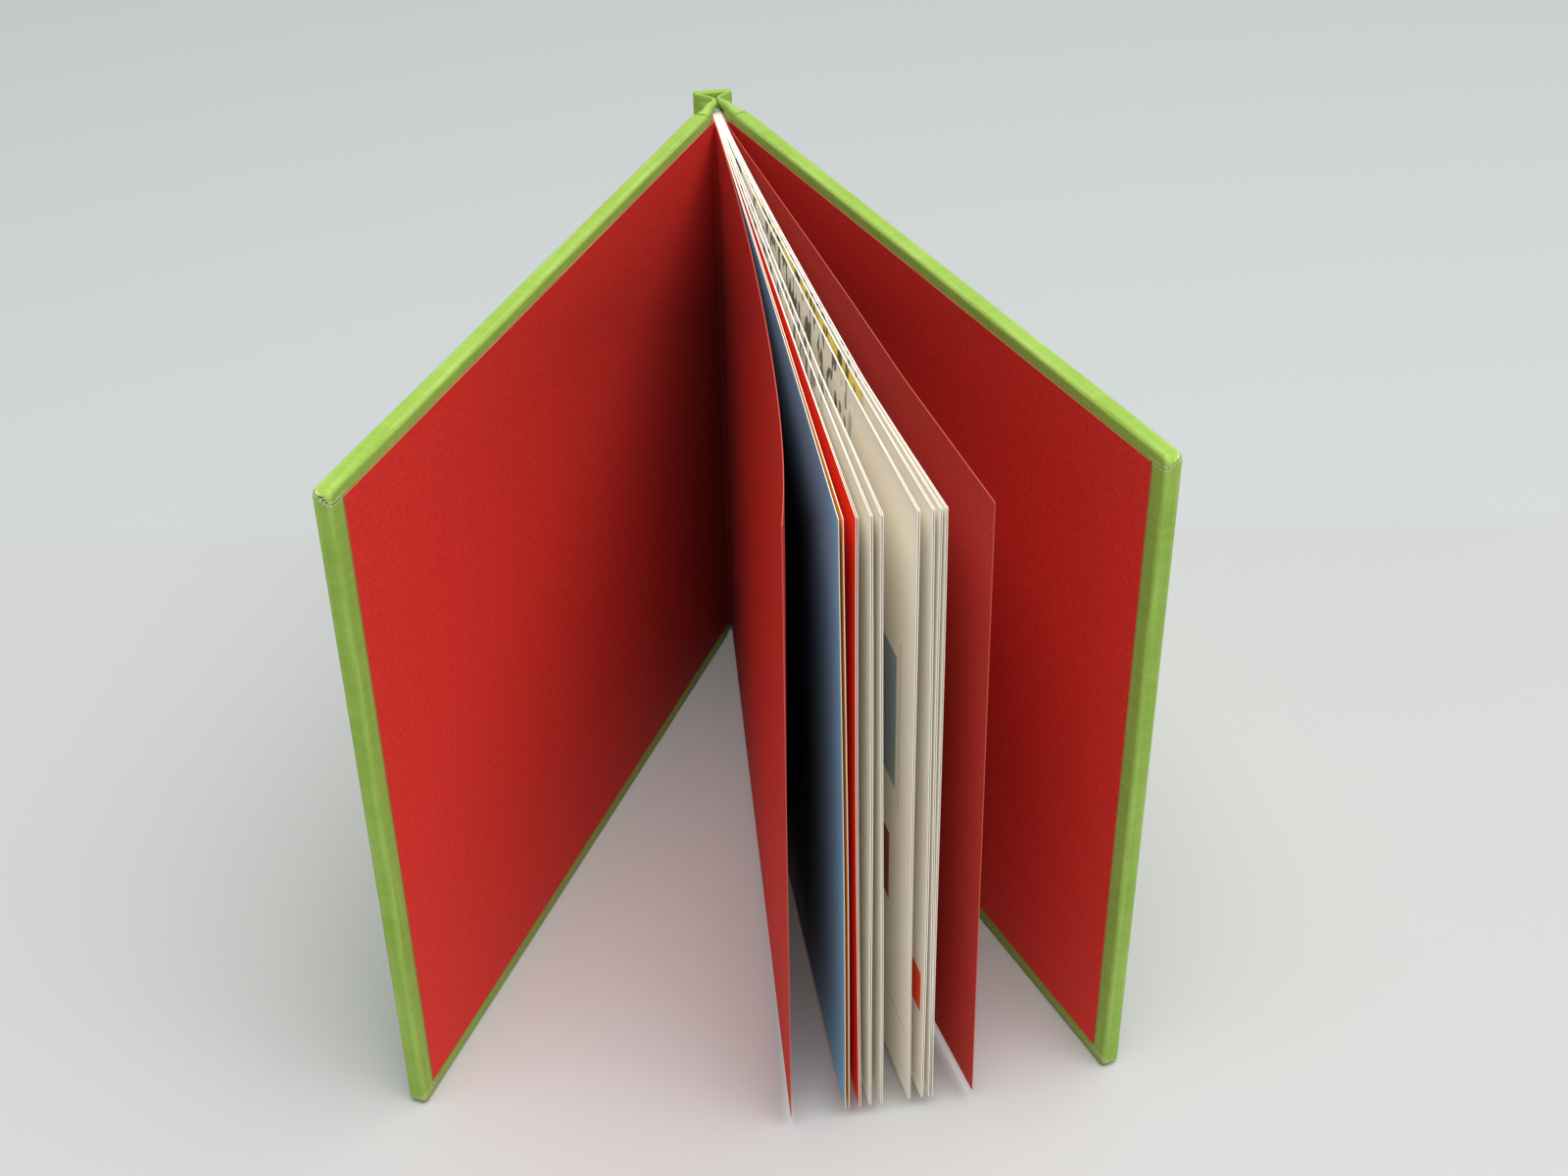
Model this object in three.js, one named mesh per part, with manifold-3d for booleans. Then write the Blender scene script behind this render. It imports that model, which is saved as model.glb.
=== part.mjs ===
// A small landscape hardcover book, standing on its tail with both covers part open
// and its leaves fanned. Millimetres, +Z up. The origin is the middle of the spine's foot:
// X runs across the spine, the fore edge is towards -Y, and the head of the book is up.

import * as THREE from 'three';
import { mergeVertices } from 'three/addons/utils/BufferGeometryUtils.js';
import Module from 'manifold-3d';

// Boards and covering
const boardWidth = 156.3;        // from the spine edge to the fore edge of the bare board
const boardHeight = 132.5;       // head to tail
const boardThickness = 2.6;
const boardArris = 0.4;          // rounding of the bare board's long edges
const boardCorner = 1.0;         // rounding of its corners, seen from the front
const clothThickness = 0.35;
const glueLine = 0.06;           // clearance that stands for every film of glue
const turnIn = 15;               // cloth folded in over the edges
const mitreSlit = 0.2;           // open seam where two turn-ins meet at a fore corner
const wornCornerRadius = 1.5;    // cloth rubbed through at the front cover's head corner

// Spine
const spineCardWidth = 7.4;
const spineCardThickness = 0.9;
const spineEdgeRadius = 0.5;     // cloth folded round the long edges of the spine
const hingeSetback = 11.2;       // from the middle of the spine strip to the hinge line
const jointLip = 1.2;            // where the spine's cloth stops, behind the hinge line
const grooveLength = 3.8;        // straight bottom of the joint groove
const boardToHinge = 1.8;        // board's spine edge, in front of the hinge line
const coverLip = 0.4;            // where the cover's cloth stops, in front of the hinge line
const hingeClearance = 0.05;     // from the lining's cover to the hinge line

// Endpapers
const endpaperThickness = 0.16;
const pastedownFold = 0.3;       // pastedown's folded edge, in front of the hinge line
const pastedownForeMargin = 3.3;
const pastedownHeadMargin = 2.4;
const pastedownTailMargin = 3.4;
const pastedownRamp = 1.2;       // slope where the pastedown sinks off the turn-ins
const liningThickness = 0.14;

// Leaves
const leafCount = 16;
const leafThickness = 0.13;
const leafHeight = 127.9;
const leafBehindHinge = 8.4;     // bound edge, behind the hinge line
const leafBeyondHinge = 155.5;   // fore edge, in front of the hinge line
const tailSquare = 2.5;          // leaves stand this much above the boards' foot
const fanLeft = 5.0;             // how far the first leaf leans to the front cover
const pairGap = 0.18;            // between the two leaves of a pair, at the fore edge
const fanGaps = [1.62, 1.77, 1.4, 4.9, 2.05, 0.72, 0.2];   // between pairs, at the fore edge
const fanPower = 1.2;            // how the gaps widen from the hinge to the fore edge
const pairParting = 0.72;        // share of the leaf's length where a pair parts
const fanLean = 1.4;             // the fan's feet stand this much further over than its heads
const frontFlyleafGap = 9.9;     // at the fore edge, from the nearest leaf
const frontFlyleafPower = 2.1;
const backFlyleafGap = 7.2;

// Pose at rest
const frontOpening = 30;         // degrees from closed
const backOpening = 15.5;

// Heights and layers that follow from the sizes above
const wrap = clothThickness + glueLine;
const coverHeight = boardHeight + 2 * wrap;
const coverWidth = boardWidth + 2 * wrap;
const turnInLevel = endpaperThickness + glueLine;
const boardLevel = turnInLevel + wrap;
const coverOuterLevel = boardLevel + boardThickness + wrap;
const blockHalf = leafCount * leafThickness / 2;
const flyleafMiddle = blockHalf + glueLine + endpaperThickness / 2;
const flyleafOuter = flyleafMiddle + endpaperThickness / 2;
const liningInner = flyleafOuter + glueLine;
const liningOuter = liningInner + liningThickness;
const jointInner = liningOuter + glueLine;
const jointOuter = jointInner + 2 * clothThickness;
const hingeX = jointInner + hingeClearance;
const spineHalfWidth = spineCardWidth / 2 + wrap;
const spineHalfDepth = spineCardThickness / 2 + wrap;
const hingeY = -hingeSetback;

// Colours as the photographed book shows them
const finishes = {
  cloth: { color: 0x8fb544, roughness: 0.85, metalness: 0 },
  board: { color: 0x9a9a90, roughness: 0.9, metalness: 0 },
  endpaper: { color: 0xb32a22, roughness: 0.8, metalness: 0 },
  page: { color: 0xe9e2c8, roughness: 0.8, metalness: 0 },
  lining: { color: 0xd9d2bd, roughness: 0.9, metalness: 0 },
};

const wasm = await Module();
wasm.setup();

function toSolid(geometry) {
  const bare = geometry.clone();
  bare.deleteAttribute('normal');
  bare.deleteAttribute('uv');
  const welded = mergeVertices(bare, 1e-5);
  return new wasm.Manifold(new wasm.Mesh({
    numProp: 3,
    vertProperties: new Float32Array(welded.attributes.position.array),
    triVerts: new Uint32Array(welded.index.array),
  }));
}

function toGeometry(solid) {
  const mesh = solid.getMesh();
  const geometry = new THREE.BufferGeometry();
  geometry.setAttribute('position', new THREE.BufferAttribute(new Float32Array(mesh.vertProperties), 3));
  geometry.setIndex(new THREE.BufferAttribute(new Uint32Array(mesh.triVerts), 1));
  geometry.computeVertexNormals();
  return geometry;
}

function piece(name, geometry, finish) {
  const mesh = new THREE.Mesh(geometry, new THREE.MeshStandardMaterial(finishes[finish]));
  mesh.name = name;
  return mesh;
}

// An outline in plan, [x, y] pairs, raised from z = from to z = to
function raised(outline, from, to) {
  const shape = new THREE.Shape(outline.map(([x, y]) => new THREE.Vector2(x, y)));
  const geometry = new THREE.ExtrudeGeometry(shape, { depth: to - from, bevelEnabled: false, steps: 1 });
  geometry.translate(0, 0, from);
  return geometry;
}

function block(x0, x1, y0, y1, z0, z1) {
  const geometry = new THREE.BoxGeometry(x1 - x0, y1 - y0, z1 - z0);
  geometry.translate((x0 + x1) / 2, (y0 + y1) / 2, (z0 + z1) / 2);
  return geometry;
}

// Covers. A cover is built closed, in its own group: x runs from the hinge to the fore edge,
// y is across the cover and z is up. side is -1 for the front cover and 1 for the back one,
// and levels are measured outwards from the pastedown's face.

// The bare board, or the board grown by an even layer, with rounded arrises and corners
function boardSlab(growth) {
  const width = boardWidth + 2 * growth;
  const height = boardHeight + 2 * growth;
  const arris = boardArris + growth;
  const corner = boardCorner + growth;
  const shape = new THREE.Shape();
  shape.moveTo(corner, 0);
  shape.lineTo(width - corner, 0);
  shape.absarc(width - corner, corner, corner, -Math.PI / 2, 0);
  shape.lineTo(width, height - corner);
  shape.absarc(width - corner, height - corner, corner, 0, Math.PI / 2);
  shape.lineTo(corner, height);
  shape.absarc(corner, height - corner, corner, Math.PI / 2, Math.PI);
  shape.lineTo(0, corner);
  shape.absarc(corner, corner, corner, Math.PI, 1.5 * Math.PI);
  const geometry = new THREE.ExtrudeGeometry(shape, {
    depth: boardThickness + 2 * growth - 2 * arris,
    bevelEnabled: true, bevelThickness: arris, bevelSize: arris, bevelOffset: -arris,
    bevelSegments: 3, curveSegments: 4, steps: 1,
  });
  geometry.translate(0, 0, arris);
  geometry.rotateX(Math.PI / 2);
  return geometry;
}

function placedSlab(growth, side) {
  const geometry = boardSlab(growth);
  const middle = (boardThickness + 2 * growth) / 2;
  const level = boardLevel + boardThickness / 2;
  geometry.translate(boardToHinge + wrap - growth, middle + side * level, wrap - growth);
  return geometry;
}

function board(name, side) {
  return piece(name, placedSlab(0, side), 'board');
}

// A bar through the turn-in layer, laid on the diagonal of one fore corner
function mitreCut(side, atHead) {
  const length = Math.SQRT2 * turnIn;
  const bar = new THREE.BoxGeometry(length, wrap + glueLine, mitreSlit);
  const start = boardCorner + wrap;
  bar.translate(-length / 2 - start, 0, 0);
  bar.rotateY(atHead ? -Math.PI / 4 : Math.PI / 4);
  bar.translate(boardToHinge + coverWidth, side * (turnInLevel + wrap / 2), atHead ? coverHeight : 0);
  return bar;
}

function coverCloth(name, side, worn) {
  const inner = side * turnInLevel;
  const lipOuter = side * (turnInLevel + clothThickness);
  const [y0, y1] = [Math.min(inner, lipOuter), Math.max(inner, lipOuter)];
  const lip = block(coverLip, boardToHinge + 2 * wrap, y0, y1, 0, coverHeight);
  const reach = [side * (turnInLevel - 1), side * (boardLevel + glueLine)];
  const window = block(
    boardToHinge + wrap, boardToHinge + coverWidth - turnIn,
    Math.min(...reach), Math.max(...reach), turnIn, coverHeight - turnIn);
  let solid = toSolid(placedSlab(wrap, side)).add(toSolid(lip));
  solid = solid.subtract(toSolid(placedSlab(glueLine, side))).subtract(toSolid(window));
  solid = solid.subtract(toSolid(mitreCut(side, true))).subtract(toSolid(mitreCut(side, false)));
  if (worn) {
    const rub = new THREE.SphereGeometry(wornCornerRadius, 12, 8);
    rub.translate(boardToHinge + coverWidth, side * (coverOuterLevel - clothThickness), coverHeight);
    solid = solid.subtract(toSolid(rub));
  }
  return piece(name, toGeometry(solid), 'cloth');
}

// A sheet of even thickness through nested rectangles: each ring is {x0, x1, z0, z1, level}
function nestedSheet(rings, thickness, side) {
  const corners = [];
  for (const layer of [0, thickness]) {
    for (const { x0, x1, z0, z1, level } of rings) {
      const y = side * (level + layer);
      corners.push([x0, y, z0], [x1, y, z0], [x1, y, z1], [x0, y, z1]);
    }
  }
  const triangles = [];
  const quad = (a, b, c, d) => triangles.push([a, b, c], [a, c, d]);
  const outer = 4 * rings.length;
  for (let ring = 0; ring + 1 < rings.length; ring += 1) {
    for (let corner = 0; corner < 4; corner += 1) {
      const a = 4 * ring + corner;
      const b = 4 * ring + (corner + 1) % 4;
      quad(a, b, b + 4, a + 4);
      quad(outer + b, outer + a, outer + a + 4, outer + b + 4);
    }
  }
  const last = 4 * (rings.length - 1);
  quad(last, last + 1, last + 2, last + 3);
  quad(outer + last + 3, outer + last + 2, outer + last + 1, outer + last);
  for (let corner = 0; corner < 4; corner += 1) {
    const next = (corner + 1) % 4;
    quad(corner, outer + corner, outer + next, next);
  }
  const geometry = new THREE.BufferGeometry();
  geometry.setAttribute('position', new THREE.BufferAttribute(new Float32Array(corners.flat()), 3));
  const facing = side > 0 ? triangles : triangles.map(([a, b, c]) => [a, c, b]);
  geometry.setIndex(facing.flat());
  geometry.computeVertexNormals();
  return geometry;
}

// The pastedown lies over the turn-ins and sinks onto the bare board between them
function pastedown(name, side) {
  const sink = wrap;
  const edge = {
    x0: pastedownFold, x1: boardToHinge + coverWidth - pastedownForeMargin,
    z0: pastedownTailMargin, z1: coverHeight - pastedownHeadMargin, level: 0,
  };
  const ridge = {
    x0: boardToHinge + wrap, x1: boardToHinge + coverWidth - turnIn,
    z0: turnIn, z1: coverHeight - turnIn, level: 0,
  };
  const floor = {
    x0: ridge.x0 + pastedownRamp, x1: ridge.x1 - pastedownRamp,
    z0: ridge.z0 + pastedownRamp, z1: ridge.z1 - pastedownRamp, level: sink,
  };
  return piece(name, nestedSheet([edge, ridge, floor], endpaperThickness, side), 'endpaper');
}

function cover(name, side, opening, worn) {
  const group = new THREE.Group();
  group.add(
    board(`${name}_board`, side),
    coverCloth(`${name}_cover_cloth`, side, worn),
    pastedown(`${name}_pastedown`, side),
  );
  group.position.set(side * hingeX, hingeY, 0);
  group.rotation.z = THREE.MathUtils.degToRad(-90 + side * opening);
  return group;
}

// Leaves. along is the distance in front of the hinge line, and share is along as a
// part of the leaf's free length.

const stations = 12;

function shareOf(along) {
  return Math.max(along, 0) / leafBeyondHinge;
}

function gapAt(index, share) {
  const paired = index % 2 === 0;
  const parting = paired ? pairParting : 0;
  if (share <= parting) return 0;
  const widest = paired ? pairGap : fanGaps[(index - 1) / 2 % fanGaps.length];
  return widest * ((share - parting) / (1 - parting)) ** fanPower;
}

// The left side of one leaf at one place along it
function leafLeft(index, share) {
  let x = -blockHalf - fanLeft * share;
  for (let before = 0; before < index; before += 1) {
    x += leafThickness + gapAt(before, share);
  }
  return x;
}

function leafRight(index, share) {
  return leafLeft(index, share) + leafThickness;
}

// Every leaf is a finger of one outline, parted from the next from where the two separate
function blockOutline() {
  const y = (share) => hingeY - share * leafBeyondHinge;
  const from = (parting) => {
    const places = [];
    for (let step = 1; step <= stations; step += 1) {
      const share = step / stations;
      if (share > parting + 0.5 / stations) places.push(share);
    }
    return places;
  };
  const outline = [[-blockHalf, hingeY + leafBehindHinge], [-blockHalf, hingeY]];
  for (const share of from(0)) outline.push([leafLeft(0, share), y(share)]);
  for (let index = 0; index + 1 < leafCount; index += 1) {
    const parting = index % 2 === 0 ? pairParting : 0;
    const places = from(parting);
    for (const share of [...places].reverse()) outline.push([leafRight(index, share), y(share)]);
    outline.push([leafRight(index, parting), y(parting)]);
    for (const share of places) outline.push([leafLeft(index + 1, share), y(share)]);
  }
  for (const share of from(0).reverse()) outline.push([leafRight(leafCount - 1, share), y(share)]);
  outline.push([blockHalf, hingeY], [blockHalf, hingeY + leafBehindHinge]);
  return outline;
}

// The fan's feet stand a little further over than its heads
function leanFan(geometry) {
  const place = geometry.attributes.position;
  for (let i = 0; i < place.count; i += 1) {
    const share = shareOf(hingeY - place.getY(i));
    const height = (place.getZ(i) - tailSquare) / leafHeight;
    place.setX(i, place.getX(i) + fanLean * share ** 2 * (0.5 - height));
  }
  return geometry;
}

function textBlock() {
  const outline = blockOutline();
  return piece('text_block', leanFan(raised(outline, tailSquare, tailSquare + leafHeight)), 'page');
}

// A flyleaf is tipped to the block behind the hinge line and stands free in front of it
function flyleaf(name, side) {
  const beside = glueLine + endpaperThickness / 2;
  const middle = (share) => {
    if (side < 0) {
      return leafLeft(0, share) - beside - frontFlyleafGap * share ** frontFlyleafPower;
    }
    const easing = share * (1.4 - 0.4 * share);
    return leafRight(leafCount - 1, share) + beside + backFlyleafGap * easing;
  };
  const half = endpaperThickness / 2;
  const inside = [[middle(0) - side * half, hingeY + leafBehindHinge]];
  const outside = [[middle(0) + side * half, hingeY + leafBehindHinge]];
  for (let step = 0; step <= stations; step += 1) {
    const share = step / stations;
    const y = hingeY - share * leafBeyondHinge;
    inside.push([middle(share) - side * half, y]);
    outside.push([middle(share) + side * half, y]);
  }
  const outline = [...inside, ...outside.reverse()];
  return piece(name, leanFan(raised(outline, tailSquare, tailSquare + leafHeight)), 'endpaper');
}

// A strip of lining glued round the bound edge and a little way down both sides
function spineLining() {
  const back = hingeY + leafBehindHinge + glueLine;
  const front = hingeY + jointLip + glueLine;
  const outline = [
    [-liningOuter, front], [-liningInner, front], [-liningInner, back], [liningInner, back],
    [liningInner, front], [liningOuter, front], [liningOuter, back + liningThickness],
    [-liningOuter, back + liningThickness],
  ];
  return piece('spine_lining', raised(outline, tailSquare, tailSquare + leafHeight), 'lining');
}

// Spine. The outer face of the joint's cloth in plan: along the groove's bottom, then out
// to the edge of the spine strip
function jointCurve(side) {
  const start = new THREE.Vector2(side * jointOuter, hingeY + jointLip);
  const bend = new THREE.Vector2(side * jointOuter, hingeY + jointLip + grooveLength);
  const strip = new THREE.Vector2(side * spineHalfWidth, -spineHalfDepth + clothThickness);
  const pull = new THREE.Vector2(side * jointOuter, strip.y - grooveLength / 2);
  const flare = new THREE.CubicBezierCurve(bend, pull, new THREE.Vector2(strip.x, pull.y), strip);
  return [start, ...flare.getPoints(8)];
}

// A ribbon of cloth between two depths under the joint's outer face
function jointRibbon(side, near, far) {
  const curve = jointCurve(side);
  const offset = (depth) => curve.map((point, i) => {
    const before = curve[Math.max(i - 1, 0)];
    const after = curve[Math.min(i + 1, curve.length - 1)];
    const along = after.clone().sub(before).normalize();
    return [point.x - side * along.y * depth, point.y + side * along.x * depth];
  });
  return [...offset(near), ...offset(far).reverse()];
}

function stripOutline(halfWidth, halfDepth, radius) {
  const shape = new THREE.Shape();
  shape.moveTo(-halfWidth, -halfDepth);
  shape.lineTo(halfWidth, -halfDepth);
  shape.absarc(halfWidth - radius, halfDepth - radius, radius, 0, Math.PI / 2);
  shape.absarc(-halfWidth + radius, halfDepth - radius, radius, Math.PI / 2, Math.PI);
  return shape.getPoints(4).map(({ x, y }) => [x, y]);
}

// One cloth covers the strip and both grooves. It is folded in at the head and the tail, so
// it is double there, and single between the turn-ins
function spineCloth() {
  const low = turnIn;
  const high = coverHeight - turnIn;
  const insideWidth = spineHalfWidth - clothThickness;
  const insideDepth = spineHalfDepth - clothThickness;
  const strip = stripOutline(spineHalfWidth, spineHalfDepth, spineEdgeRadius);
  let solid = toSolid(raised(strip, 0, coverHeight));
  for (const side of [-1, 1]) {
    solid = solid.add(toSolid(raised(jointRibbon(side, 0, 2 * clothThickness), 0, coverHeight)));
  }
  for (const side of [-1, 1]) {
    const foldedIn = jointRibbon(side, clothThickness, 3 * clothThickness);
    solid = solid.subtract(toSolid(raised(foldedIn, low, high)));
  }
  const inside = [-insideWidth, insideWidth];
  const behindCard = block(...inside, -insideDepth - 2 * clothThickness, insideDepth, low, high);
  const pocket = block(...inside, -insideDepth, insideDepth, clothThickness, coverHeight - clothThickness);
  solid = solid.subtract(toSolid(behindCard)).subtract(toSolid(pocket));
  return piece('spine_cloth', toGeometry(solid), 'cloth');
}

function spineInlay() {
  const card = block(-spineCardWidth / 2, spineCardWidth / 2,
    -spineCardThickness / 2, spineCardThickness / 2, wrap, coverHeight - wrap);
  return piece('spine_inlay', card, 'board');
}

const book = new THREE.Group();
book.add(
  textBlock(),
  flyleaf('front_flyleaf', -1),
  flyleaf('back_flyleaf', 1),
  spineLining(),
  spineInlay(),
  spineCloth(),
  cover('front', -1, frontOpening, true),
  cover('back', 1, backOpening, false),
);

export default book;
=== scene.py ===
# %% [markdown]
# A small landscape hardcover book stands on its tail with both covers part open and its
# leaves fanned. The imported CAD model is the fixed frame: every piece made here lies where a
# CAD piece lies, and all but the joint cloths ride on the same body, so that the covers still
# swing.

import math

import bmesh
import bpy
import numpy as np
from mathutils import Matrix, Vector


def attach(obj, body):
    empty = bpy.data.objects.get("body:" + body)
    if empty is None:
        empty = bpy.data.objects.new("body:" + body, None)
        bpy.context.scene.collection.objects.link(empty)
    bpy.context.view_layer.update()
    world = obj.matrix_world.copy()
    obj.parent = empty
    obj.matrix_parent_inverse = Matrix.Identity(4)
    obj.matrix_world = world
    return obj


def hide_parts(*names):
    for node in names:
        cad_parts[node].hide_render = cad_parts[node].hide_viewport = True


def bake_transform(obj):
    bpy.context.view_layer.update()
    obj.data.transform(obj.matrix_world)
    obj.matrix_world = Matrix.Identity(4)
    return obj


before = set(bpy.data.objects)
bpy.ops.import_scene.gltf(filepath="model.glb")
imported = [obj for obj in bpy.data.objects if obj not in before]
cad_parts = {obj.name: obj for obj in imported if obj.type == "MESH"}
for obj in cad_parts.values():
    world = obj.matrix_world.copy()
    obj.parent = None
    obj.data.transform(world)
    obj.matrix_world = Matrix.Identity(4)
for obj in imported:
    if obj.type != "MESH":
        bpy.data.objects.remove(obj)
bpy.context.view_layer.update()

# %% [markdown]
# The book's sizes are written in millimetres, as a bookbinder would give them, and become
# metres only where a mesh is made. Distances inside the materials, and the places of the
# camera, floor and lamp, are in metres. Each cover has its own directions: u runs from the
# hinge to the fore edge, v runs outwards through the board, and z is up.

# %% Sizes that the pieces share
MM = 0.001
HINGE_X, HINGE_Y = 1.57, -11.2
OPENING = {-1: math.radians(30.0), 1: math.radians(15.5)}
SIDE_NAME = {-1: "front", 1: "back"}
COVER_HEIGHT = 133.32
COVER_START, COVER_END = 1.8, 158.92
TURN_IN_LEVEL, OUTER_LEVEL = 0.22, 3.64
COVER_CORNER, COVER_ARRIS = 1.41, 0.81
TURN_IN = 15
CLOTH = 0.35
SPINE_HALF_WIDTH, SPINE_HALF_DEPTH = 4.11, 0.86
SPINE_CORNER, SPINE_ARRIS = 0.5, 0.36
ENDPAPER = 0.15
LEAF_FOOT, LEAF_HEAD = 2.5, 130.4
FREE_LENGTH, BOUND_LENGTH = 155.5, 8.4
SEAM_SLOPE, SEAM_DROP = 0.62, 2.3


def on_cover(side, places):
    """Cover directions (u, v, z) to the shared frame, in millimetres."""
    places = np.asarray(places, float)
    sine, cosine = math.sin(OPENING[side]), math.cos(OPENING[side])
    u, v, z = places[:, 0], places[:, 1], places[:, 2]
    return np.column_stack(
        (side * (HINGE_X + u * sine + v * cosine), HINGE_Y - u * cosine + v * sine, z)
    )


print("cover height", COVER_HEIGHT, "mm, width", COVER_END - COVER_START, "mm")

# %% [markdown]
# The camera stands where the photograph was taken, a little left of the fore edge and above
# it. The floor is one large pale sheet. Behind the book its tint turns a little cooler, as a
# backdrop does past the table's edge.

# %% Camera
CAMERA_PLACE = (-0.06113, -0.42502, 0.29898)
TURN_LEFT, LOOK_DOWN, ROLL = 10.0, 34.41, 0.885
camera = bpy.data.objects.new("camera", bpy.data.cameras.new("camera"))
bpy.context.collection.objects.link(camera)
camera.data.lens = 48.39
camera.data.sensor_width = 36.0
camera.data.clip_start = 0.02
camera.matrix_world = (
    Matrix.Translation(CAMERA_PLACE)
    @ Matrix.Rotation(math.radians(-TURN_LEFT), 4, "Z")
    @ Matrix.Rotation(math.radians(90 - LOOK_DOWN), 4, "X")
    @ Matrix.Rotation(math.radians(-ROLL), 4, "Z")
)
bpy.context.scene.camera = camera
bpy.context.scene.view_settings.view_transform = "Standard"
print("camera lens", camera.data.lens)

# %% [markdown]
# Materials are built from nodes. Small helpers keep that short: one adds a node, one feeds a
# socket with a link or a value, one makes a Math node, and the rest mix colours, place noise
# and start a group or a material.


# %% Node helpers
def add(tree, kind, **settings):
    node = tree.nodes.new(kind)
    for name, value in settings.items():
        setattr(node, name, value)
    return node


def feed(tree, socket, value):
    if isinstance(value, bpy.types.NodeSocket):
        tree.links.new(value, socket)
    elif value is not None:
        socket.default_value = value


def calc(tree, operation, *values):
    node = add(tree, "ShaderNodeMath", operation=operation)
    for socket, value in zip(node.inputs, values):
        feed(tree, socket, value)
    return node.outputs[0]


def between(tree, value, low, high):
    """0 below low, 1 above high, and smooth between them."""
    node = add(tree, "ShaderNodeMapRange", interpolation_type="SMOOTHSTEP")
    for name, number in (("Value", value), ("From Min", low), ("From Max", high)):
        feed(tree, node.inputs[name], number)
    return node.outputs["Result"]


def tint(tree, share, first, second):
    """A colour that goes from first to second as share goes from 0 to 1."""
    node = add(tree, "ShaderNodeMix", data_type="RGBA")
    feed(tree, node.inputs["Factor"], share)
    feed(tree, node.inputs["A"], first)
    feed(tree, node.inputs["B"], second)
    return node.outputs["Result"]


def noise(tree, vector, scale, detail=2.0, stretch=None):
    if stretch:
        mapping = add(tree, "ShaderNodeMapping")
        mapping.inputs["Scale"].default_value = stretch
        feed(tree, mapping.inputs["Vector"], vector)
        vector = mapping.outputs["Vector"]
    node = add(tree, "ShaderNodeTexNoise")
    feed(tree, node.inputs["Vector"], vector)
    node.inputs["Scale"].default_value = scale
    node.inputs["Detail"].default_value = detail
    return node.outputs["Fac"]


def srgb(red, green, blue):
    """A colour as a paint chart gives it, 0 to 255, made linear for a socket."""
    linear = [
        c / 12.92 if c <= 0.04045 else ((c + 0.055) / 1.055) ** 2.4
        for c in (red / 255, green / 255, blue / 255)
    ]
    return (*linear, 1.0)


def group(name, inputs, outputs):
    tree = bpy.data.node_groups.new(name, "ShaderNodeTree")
    for label, kind, value in inputs:
        socket = tree.interface.new_socket(label, in_out="INPUT", socket_type=f"NodeSocket{kind}")
        if value is not None:
            socket.default_value = value
    for label, kind in outputs:
        tree.interface.new_socket(label, in_out="OUTPUT", socket_type=f"NodeSocket{kind}")
    return tree, add(tree, "NodeGroupInput").outputs, add(tree, "NodeGroupOutput").inputs


def placed(tree, group_tree, **values):
    node = add(tree, "ShaderNodeGroup", node_tree=group_tree)
    for name, value in values.items():
        feed(tree, node.inputs[name.replace("_", " ")], value)
    return node.outputs


def material(name):
    made = bpy.data.materials.new(name)
    made.use_nodes = True
    made.node_tree.nodes.clear()
    shader = add(made.node_tree, "ShaderNodeBsdfPrincipled")
    output = add(made.node_tree, "ShaderNodeOutputMaterial")
    made.node_tree.links.new(shader.outputs[0], output.inputs["Surface"])
    return made, made.node_tree, shader


def attribute_value(tree, name, output="Fac"):
    return add(tree, "ShaderNodeAttribute", attribute_name=name).outputs[output]


def bumped(tree, shader, height, strength, distance):
    node = add(tree, "ShaderNodeBump")
    node.inputs["Strength"].default_value = strength
    node.inputs["Distance"].default_value = distance
    feed(tree, node.inputs["Height"], height)
    tree.links.new(node.outputs["Normal"], shader.inputs["Normal"])


print("node helpers ready")

# %% [markdown]
# Book cloth is a plain weave: each thread passes over one and under the next. Two sine
# waves multiplied give a chessboard of over and under, and each square takes the round
# back of its own thread. Noise stretched along the threads makes some thicker than others.

# %% Weave group
weave, enter, leave = group(
    "plain_weave",
    [("Surface", "Vector", None), ("Threads", "Float", 2000.0)],
    [("Height", "Float"), ("Slub", "Float")],
)
parts = add(weave, "ShaderNodeSeparateXYZ")
feed(weave, parts.inputs[0], enter["Surface"])
wander = calc(weave, "MULTIPLY", noise(weave, enter["Surface"], 90.0), 0.0016)
waves = []
for axis in ("X", "Y"):
    shifted = calc(weave, "ADD", parts.outputs[axis], wander)
    turns = calc(weave, "MULTIPLY", calc(weave, "MULTIPLY", shifted, enter["Threads"]), math.pi)
    waves.append(calc(weave, "SINE", turns))
over = between(weave, calc(weave, "MULTIPLY", waves[0], waves[1]), -0.25, 0.25)
warp, weft = (calc(weave, "ABSOLUTE", wave) for wave in waves)
backs = calc(
    weave,
    "ADD",
    calc(weave, "MULTIPLY", over, warp),
    calc(weave, "MULTIPLY", calc(weave, "SUBTRACT", 1.0, over), weft),
)
along_warp = noise(weave, enter["Surface"], 1.0, stretch=(900.0, 60.0, 60.0))
along_weft = noise(weave, enter["Surface"], 1.0, stretch=(60.0, 900.0, 60.0))
slub = calc(weave, "ADD", along_warp, along_weft)
feed(weave, leave["Height"], calc(weave, "ADD", backs, slub))
feed(weave, leave["Slub"], calc(weave, "MULTIPLY", slub, 0.5))
print("weave group:", len(weave.nodes), "nodes")

# %% [markdown]
# Paper is felted fibre. Cloudy noise gives its mottled colour and a finer, stretched noise
# gives the tooth that one can feel. The same group serves the red endpapers, the cream
# leaves, the grey board and the lining, each with its own sizes.

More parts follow.
